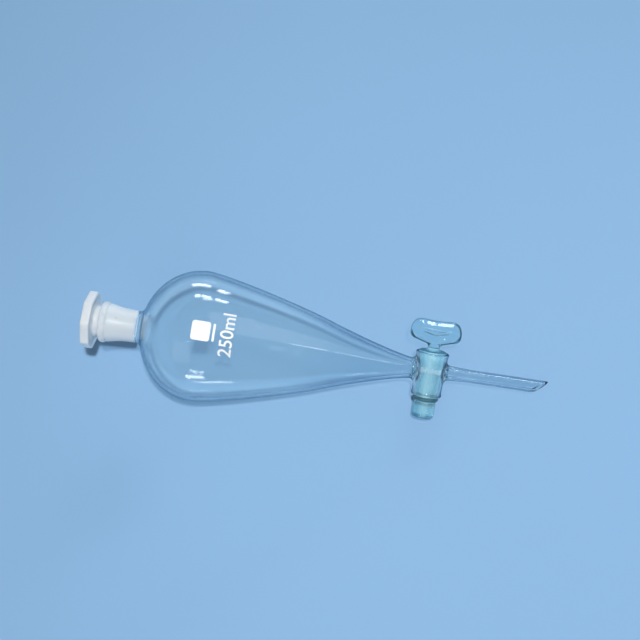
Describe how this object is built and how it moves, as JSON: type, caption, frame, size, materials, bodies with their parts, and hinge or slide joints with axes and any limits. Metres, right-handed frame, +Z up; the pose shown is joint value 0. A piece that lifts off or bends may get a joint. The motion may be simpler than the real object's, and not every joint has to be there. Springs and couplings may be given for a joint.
{
  "type": "separatory funnel",
  "caption": "Pear-shaped glass separatory funnel with a ground-joint neck and plastic stopper, a turning glass stopcock with a bow-tie handle, and a straight oblique-tipped stem.",
  "frame": {"origin": "on the funnel's axis, level with the lowest point of the stem's oblique tip", "axes": "+Z up the funnel's axis from the stem's tip to the stopper, as in use; X along the stopcock's plug, +X towards its handle; Y completes the right-handed frame"},
  "size_m": [0.077, 0.077, 0.2747],
  "materials": {
    "clear_glass": "clear blown borosilicate glass, fire-polished, slightly wavy",
    "socket_glass": "clear glass outside, finely ground and white on the inner taper",
    "barrel_glass": "clear glass outside, finely ground on the inner taper",
    "stem_glass": "clear drawn glass tube, tip cut obliquely and fire-polished",
    "plug_glass": "clear pressed handle, finely ground frosted plug, frosted tail",
    "ring_rubber": "dark soft rubber, satin",
    "stopper_polyethylene": "milky white translucent polyethylene, moulded, semi-matte"
  },
  "bodies": {
    "glass_body": {"bulb": "clear_glass", "neck_socket": "socket_glass", "stopcock_barrel": "barrel_glass", "stem": "stem_glass"},
    "plug": {"stopcock_plug": "plug_glass", "plug_retaining_ring": "ring_rubber"},
    "stopper": {"stopper": "stopper_polyethylene"}
  },
  "joints": [
    {"name": "plug_turn", "type": "hinge", "parent": "glass_body", "child": "plug", "pos_m": [0, 0, 0.07], "axis": [1, 0, 0], "continuous": true},
    {"name": "stopper_lift", "type": "slide", "parent": "glass_body", "child": "stopper", "axis": [0, 0, 1], "range_m": [0, 0.04]}
  ]
}
